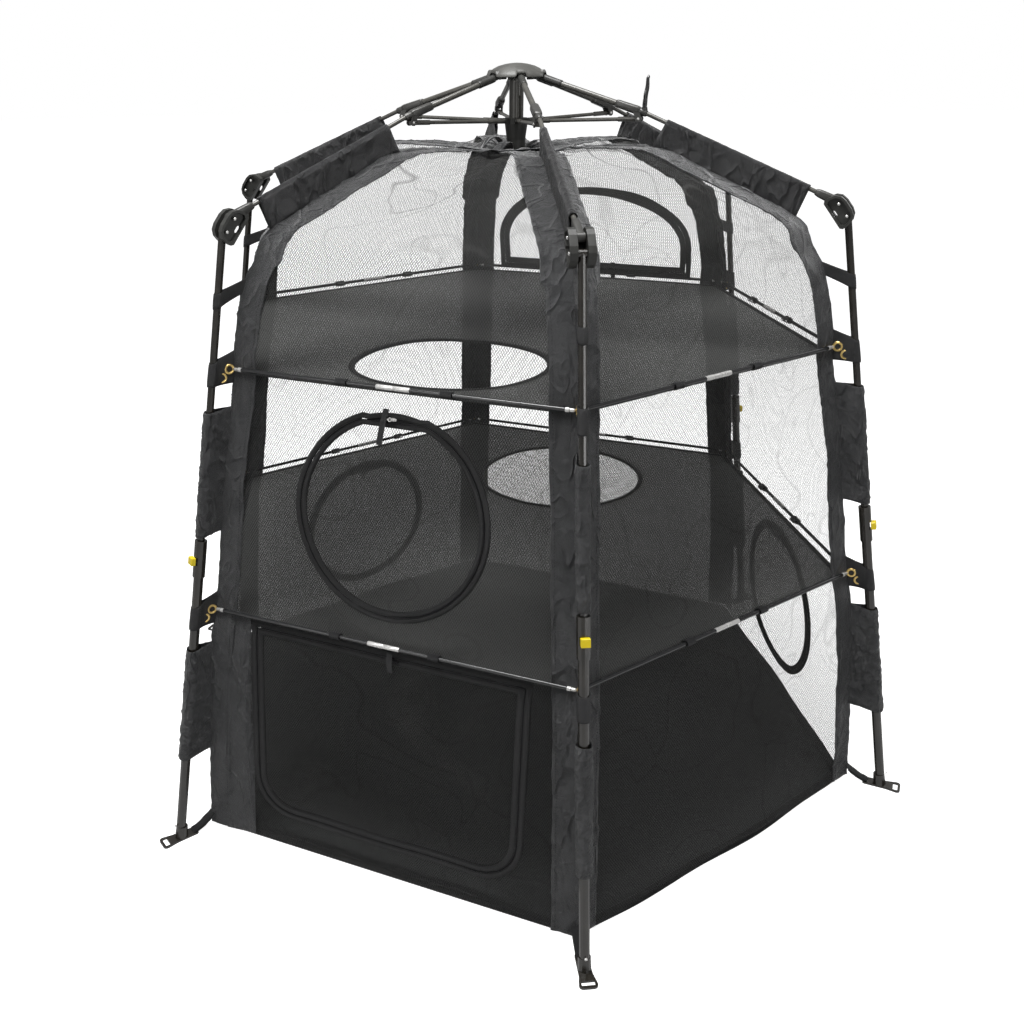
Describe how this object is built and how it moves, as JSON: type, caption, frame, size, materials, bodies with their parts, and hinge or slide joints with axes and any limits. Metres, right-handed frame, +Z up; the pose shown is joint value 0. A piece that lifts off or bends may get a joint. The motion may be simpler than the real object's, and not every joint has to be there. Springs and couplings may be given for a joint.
{
  "type": "foldable cat cage",
  "caption": "Foldable pop-up cat cage: a hexagonal mesh tent with shelves on stacked levels, hung in a folding umbrella frame with telescopic legs.",
  "frame": {"origin": "on the ground, under the middle of the hub", "axes": "+Z up; -Y towards the front corner; +X to the right of it"},
  "size_m": [1.5048, 1.725, 1.4],
  "materials": {
    "hub_plastic": "moulded, satin",
    "knuckle_plastic": "moulded, satin",
    "pole_metal": "dark painted tube, semi-gloss",
    "leg_metal": "dark painted tube, semi-gloss",
    "button_yellow": "smooth",
    "black_oxford": "satin woven cloth",
    "white_mesh": "fine woven net",
    "shelf_cloth": "woven cloth",
    "rod_black": "satin rod"
  },
  "bodies": {
    "hub": {"hub_and_post": "hub_plastic", "tent_floor": "shelf_cloth", "wall_front_right": "white_mesh", "wall_right": "white_mesh", "wall_back_right": "white_mesh", "wall_back_left": "white_mesh", "wall_left": "white_mesh", "wall_front_left": "white_mesh", "corner_strip_front": "black_oxford", "corner_strip_right_front": "black_oxford", "corner_strip_right_back": "black_oxford", "corner_strip_back": "black_oxford", "corner_strip_left_back": "black_oxford", "corner_strip_left_front": "black_oxford"},
    "slider": {"slider": "hub_plastic"},
    "rib_front": {"rib_front": "pole_metal"},
    "strut_front": {"strut_front": "pole_metal"},
    "knuckle_front": {"knuckle_front": "knuckle_plastic"},
    "upper_leg_front": {"upper_leg_front": "leg_metal"},
    "lower_leg_front": {"lower_leg_front": "leg_metal"},
    "button_front": {"leg_button_front": "button_yellow"},
    "rib_right_front": {"rib_right_front": "pole_metal"},
    "strut_right_front": {"strut_right_front": "pole_metal"},
    "knuckle_right_front": {"knuckle_right_front": "knuckle_plastic"},
    "upper_leg_right_front": {"upper_leg_right_front": "leg_metal"},
    "lower_leg_right_front": {"lower_leg_right_front": "leg_metal"},
    "button_right_front": {"leg_button_right_front": "button_yellow"},
    "rib_right_back": {"rib_right_back": "pole_metal"},
    "strut_right_back": {"strut_right_back": "pole_metal"},
    "knuckle_right_back": {"knuckle_right_back": "knuckle_plastic"},
    "upper_leg_right_back": {"upper_leg_right_back": "leg_metal"},
    "lower_leg_right_back": {"lower_leg_right_back": "leg_metal"},
    "button_right_back": {"leg_button_right_back": "button_yellow"},
    "rib_back": {"rib_back": "pole_metal"},
    "strut_back": {"strut_back": "pole_metal"},
    "knuckle_back": {"knuckle_back": "knuckle_plastic"},
    "upper_leg_back": {"upper_leg_back": "leg_metal"},
    "lower_leg_back": {"lower_leg_back": "leg_metal"},
    "button_back": {"leg_button_back": "button_yellow"},
    "rib_left_back": {"rib_left_back": "pole_metal"},
    "strut_left_back": {"strut_left_back": "pole_metal"},
    "knuckle_left_back": {"knuckle_left_back": "knuckle_plastic"},
    "upper_leg_left_back": {"upper_leg_left_back": "leg_metal"},
    "lower_leg_left_back": {"lower_leg_left_back": "leg_metal"},
    "button_left_back": {"leg_button_left_back": "button_yellow"},
    "rib_left_front": {"rib_left_front": "pole_metal"},
    "strut_left_front": {"strut_left_front": "pole_metal"},
    "knuckle_left_front": {"knuckle_left_front": "knuckle_plastic"},
    "upper_leg_left_front": {"upper_leg_left_front": "leg_metal"},
    "lower_leg_left_front": {"lower_leg_left_front": "leg_metal"},
    "button_left_front": {"leg_button_left_front": "button_yellow"},
    "tier_upper": {"shelf_upper": "shelf_cloth", "rod_hoop_upper": "rod_black"},
    "tier_lower": {"shelf_lower": "shelf_cloth", "rod_hoop_lower": "rod_black"},
    "front_door": {"front_door": "white_mesh"},
    "front_hatch": {"front_hatch": "white_mesh"},
    "right_hatch": {"right_hatch": "white_mesh"},
    "back_hatch": {"back_hatch": "white_mesh"},
    "back_window": {"back_window": "white_mesh"}
  },
  "joints": [
    {"name": "frame_fold", "type": "hinge", "parent": "hub", "child": "rib_front", "pos_m": [0, -0.04, 1.3775], "axis": [1, 0, 0], "range_deg": [0, 66], "deforming": ["wall_front_right", "wall_right", "wall_back_right", "wall_back_left", "wall_left", "wall_front_left", "corner_strip_front", "corner_strip_right_front", "corner_strip_right_back", "corner_strip_back", "corner_strip_left_back", "corner_strip_left_front", "front_door", "front_hatch", "right_hatch", "back_hatch", "back_window"]},
    {"name": "slider_rise", "type": "slide", "parent": "hub", "child": "slider", "axis": [0, 0, 1], "range_m": [0, 0.077]},
    {"name": "strut_fold_front", "type": "hinge", "parent": "slider", "child": "strut_front", "pos_m": [0, -0.028, 1.2965], "axis": [1, 0, 0], "range_deg": [0, 91.5]},
    {"name": "knuckle_fold_front", "type": "hinge", "parent": "rib_front", "child": "knuckle_front", "pos_m": [0, -0.6068, 1.16736], "axis": [-1, 0, 0], "range_deg": [0, 121.5]},
    {"name": "leg_fold_front", "type": "hinge", "parent": "knuckle_front", "child": "upper_leg_front", "pos_m": [0, -0.6225, 1.14706], "axis": [-1, 0, 0], "range_deg": [0, 110.5]},
    {"name": "leg_slide_front", "type": "slide", "parent": "upper_leg_front", "child": "lower_leg_front", "axis": [0, 0.1735, 0.9848], "range_m": [0, 0.45]},
    {"name": "button_press_front", "type": "slide", "parent": "lower_leg_front", "child": "button_front", "axis": [0, 0.9848, -0.1735], "range_m": [0, 0.003], "stiffness_N_per_m": 400, "springref_m": -0.002},
    {"name": "rib_fold_right_front", "type": "hinge", "parent": "hub", "child": "rib_right_front", "pos_m": [0.03464, -0.02, 1.3775], "axis": [0.5, 0.866, 0], "range_deg": [0, 66.5]},
    {"name": "strut_fold_right_front", "type": "hinge", "parent": "slider", "child": "strut_right_front", "pos_m": [0.02425, -0.014, 1.2965], "axis": [0.5, 0.866, 0], "range_deg": [0, 91.5]},
    {"name": "knuckle_fold_right_front", "type": "hinge", "parent": "rib_right_front", "child": "knuckle_right_front", "pos_m": [0.5255, -0.3034, 1.16736], "axis": [-0.5, -0.866, 0], "range_deg": [0, 121.5]},
    {"name": "leg_fold_right_front", "type": "hinge", "parent": "knuckle_right_front", "child": "upper_leg_right_front", "pos_m": [0.5391, -0.31125, 1.14706], "axis": [-0.5, -0.866, 0], "range_deg": [0, 110.5]},
    {"name": "leg_slide_right_front", "type": "slide", "parent": "upper_leg_right_front", "child": "lower_leg_right_front", "axis": [-0.1503, 0.0868, 0.9848], "range_m": [0, 0.45]},
    {"name": "button_press_right_front", "type": "slide", "parent": "lower_leg_right_front", "child": "button_right_front", "axis": [-0.8529, 0.4924, -0.1735], "range_m": [0, 0.003], "stiffness_N_per_m": 400, "springref_m": -0.002},
    {"name": "rib_fold_right_back", "type": "hinge", "parent": "hub", "child": "rib_right_back", "pos_m": [0.03464, 0.02, 1.3775], "axis": [-0.5, 0.866, 0], "range_deg": [0, 66.5]},
    {"name": "strut_fold_right_back", "type": "hinge", "parent": "slider", "child": "strut_right_back", "pos_m": [0.02425, 0.014, 1.2965], "axis": [-0.5, 0.866, 0], "range_deg": [0, 91.5]},
    {"name": "knuckle_fold_right_back", "type": "hinge", "parent": "rib_right_back", "child": "knuckle_right_back", "pos_m": [0.5255, 0.3034, 1.16736], "axis": [0.5, -0.866, 0], "range_deg": [0, 121.5]},
    {"name": "leg_fold_right_back", "type": "hinge", "parent": "knuckle_right_back", "child": "upper_leg_right_back", "pos_m": [0.5391, 0.31125, 1.14706], "axis": [0.5, -0.866, 0], "range_deg": [0, 110.5]},
    {"name": "leg_slide_right_back", "type": "slide", "parent": "upper_leg_right_back", "child": "lower_leg_right_back", "axis": [-0.1503, -0.0868, 0.9848], "range_m": [0, 0.45]},
    {"name": "button_press_right_back", "type": "slide", "parent": "lower_leg_right_back", "child": "button_right_back", "axis": [-0.8529, -0.4924, -0.1735], "range_m": [0, 0.003], "stiffness_N_per_m": 400, "springref_m": -0.002},
    {"name": "rib_fold_back", "type": "hinge", "parent": "hub", "child": "rib_back", "pos_m": [0, 0.04, 1.3775], "axis": [-1, 0, 0], "range_deg": [0, 66.5]},
    {"name": "strut_fold_back", "type": "hinge", "parent": "slider", "child": "strut_back", "pos_m": [0, 0.028, 1.2965], "axis": [-1, 0, 0], "range_deg": [0, 91.5]},
    {"name": "knuckle_fold_back", "type": "hinge", "parent": "rib_back", "child": "knuckle_back", "pos_m": [0, 0.6068, 1.16736], "axis": [1, 0, 0], "range_deg": [0, 121.5]},
    {"name": "leg_fold_back", "type": "hinge", "parent": "knuckle_back", "child": "upper_leg_back", "pos_m": [0, 0.6225, 1.14706], "axis": [1, 0, 0], "range_deg": [0, 110.5]},
    {"name": "leg_slide_back", "type": "slide", "parent": "upper_leg_back", "child": "lower_leg_back", "axis": [0, -0.1735, 0.9848], "range_m": [0, 0.45]},
    {"name": "button_press_back", "type": "slide", "parent": "lower_leg_back", "child": "button_back", "axis": [0, -0.9848, -0.1735], "range_m": [0, 0.003], "stiffness_N_per_m": 400, "springref_m": -0.002},
    {"name": "rib_fold_left_back", "type": "hinge", "parent": "hub", "child": "rib_left_back", "pos_m": [-0.03464, 0.02, 1.3775], "axis": [-0.5, -0.866, 0], "range_deg": [0, 66.5]},
    {"name": "strut_fold_left_back", "type": "hinge", "parent": "slider", "child": "strut_left_back", "pos_m": [-0.02425, 0.014, 1.2965], "axis": [-0.5, -0.866, 0], "range_deg": [0, 91.5]},
    {"name": "knuckle_fold_left_back", "type": "hinge", "parent": "rib_left_back", "child": "knuckle_left_back", "pos_m": [-0.5255, 0.3034, 1.16736], "axis": [0.5, 0.866, 0], "range_deg": [0, 121.5]},
    {"name": "leg_fold_left_back", "type": "hinge", "parent": "knuckle_left_back", "child": "upper_leg_left_back", "pos_m": [-0.5391, 0.31125, 1.14706], "axis": [0.5, 0.866, 0], "range_deg": [0, 110.5]},
    {"name": "leg_slide_left_back", "type": "slide", "parent": "upper_leg_left_back", "child": "lower_leg_left_back", "axis": [0.1503, -0.0868, 0.9848], "range_m": [0, 0.45]},
    {"name": "button_press_left_back", "type": "slide", "parent": "lower_leg_left_back", "child": "button_left_back", "axis": [0.8529, -0.4924, -0.1735], "range_m": [0, 0.003], "stiffness_N_per_m": 400, "springref_m": -0.002},
    {"name": "rib_fold_left_front", "type": "hinge", "parent": "hub", "child": "rib_left_front", "pos_m": [-0.03464, -0.02, 1.3775], "axis": [0.5, -0.866, 0], "range_deg": [0, 66.5]},
    {"name": "strut_fold_left_front", "type": "hinge", "parent": "slider", "child": "strut_left_front", "pos_m": [-0.02425, -0.014, 1.2965], "axis": [0.5, -0.866, 0], "range_deg": [0, 91.5]},
    {"name": "knuckle_fold_left_front", "type": "hinge", "parent": "rib_left_front", "child": "knuckle_left_front", "pos_m": [-0.5255, -0.3034, 1.16736], "axis": [-0.5, 0.866, 0], "range_deg": [0, 121.5]},
    {"name": "leg_fold_left_front", "type": "hinge", "parent": "knuckle_left_front", "child": "upper_leg_left_front", "pos_m": [-0.5391, -0.31125, 1.14706], "axis": [-0.5, 0.866, 0], "range_deg": [0, 110.5]},
    {"name": "leg_slide_left_front", "type": "slide", "parent": "upper_leg_left_front", "child": "lower_leg_left_front", "axis": [0.1503, 0.0868, 0.9848], "range_m": [0, 0.45]},
    {"name": "button_press_left_front", "type": "slide", "parent": "lower_leg_left_front", "child": "button_left_front", "axis": [0.8529, 0.4924, -0.1735], "range_m": [0, 0.003], "stiffness_N_per_m": 400, "springref_m": -0.002},
    {"name": "tier_upper_drop", "type": "slide", "parent": "hub", "child": "tier_upper", "axis": [0, 0, -1], "range_m": [0, 0.853]},
    {"name": "tier_lower_drop", "type": "slide", "parent": "hub", "child": "tier_lower", "axis": [0, 0, -1], "range_m": [0, 0.4385]},
    {"name": "front_door_swing", "type": "hinge", "parent": "hub", "child": "front_door", "pos_m": [-0.30487, -0.52804, 0.447], "axis": [-0.866, 0.5, 0], "range_deg": [0, 110]},
    {"name": "front_hatch_swing", "type": "hinge", "parent": "hub", "child": "front_hatch", "pos_m": [-0.2736, -0.47389, 0.85415], "axis": [-0.866, 0.5, 0], "range_deg": [0, 110]},
    {"name": "right_hatch_swing", "type": "hinge", "parent": "hub", "child": "right_hatch", "pos_m": [0.62003, 0, 0.39015], "axis": [0, -1, 0], "range_deg": [0, 110]},
    {"name": "back_hatch_swing", "type": "hinge", "parent": "hub", "child": "back_hatch", "pos_m": [-0.30966, 0.53635, 0.39715], "axis": [0.866, 0.5, 0], "range_deg": [0, 110]},
    {"name": "back_window_swing", "type": "hinge", "parent": "hub", "child": "back_window", "pos_m": [0.26857, 0.46518, 0.926], "axis": [-0.866, 0.5, 0], "range_deg": [0, 100]}
  ],
  "couplings": [
    {"joint": "slider_rise", "follows": "frame_fold", "m_per_rad": 0.065977},
    {"joint": "strut_fold_front", "follows": "frame_fold", "ratio": 1.3788},
    {"joint": "knuckle_fold_front", "follows": "frame_fold", "ratio": 1.8333},
    {"joint": "leg_fold_front", "follows": "frame_fold", "ratio": 1.6667},
    {"joint": "rib_fold_right_front", "follows": "frame_fold", "ratio": 1},
    {"joint": "strut_fold_right_front", "follows": "frame_fold", "ratio": 1.3788},
    {"joint": "knuckle_fold_right_front", "follows": "frame_fold", "ratio": 1.8333},
    {"joint": "leg_fold_right_front", "follows": "frame_fold", "ratio": 1.6667},
    {"joint": "rib_fold_right_back", "follows": "frame_fold", "ratio": 1},
    {"joint": "strut_fold_right_back", "follows": "frame_fold", "ratio": 1.3788},
    {"joint": "knuckle_fold_right_back", "follows": "frame_fold", "ratio": 1.8333},
    {"joint": "leg_fold_right_back", "follows": "frame_fold", "ratio": 1.6667},
    {"joint": "rib_fold_back", "follows": "frame_fold", "ratio": 1},
    {"joint": "strut_fold_back", "follows": "frame_fold", "ratio": 1.3788},
    {"joint": "knuckle_fold_back", "follows": "frame_fold", "ratio": 1.8333},
    {"joint": "leg_fold_back", "follows": "frame_fold", "ratio": 1.6667},
    {"joint": "rib_fold_left_back", "follows": "frame_fold", "ratio": 1},
    {"joint": "strut_fold_left_back", "follows": "frame_fold", "ratio": 1.3788},
    {"joint": "knuckle_fold_left_back", "follows": "frame_fold", "ratio": 1.8333},
    {"joint": "leg_fold_left_back", "follows": "frame_fold", "ratio": 1.6667},
    {"joint": "rib_fold_left_front", "follows": "frame_fold", "ratio": 1},
    {"joint": "strut_fold_left_front", "follows": "frame_fold", "ratio": 1.3788},
    {"joint": "knuckle_fold_left_front", "follows": "frame_fold", "ratio": 1.8333},
    {"joint": "leg_fold_left_front", "follows": "frame_fold", "ratio": 1.6667},
    {"joint": "tier_upper_drop", "follows": "frame_fold", "m_per_rad": 0.73964},
    {"joint": "tier_lower_drop", "follows": "frame_fold", "m_per_rad": 0.3798}
  ]
}
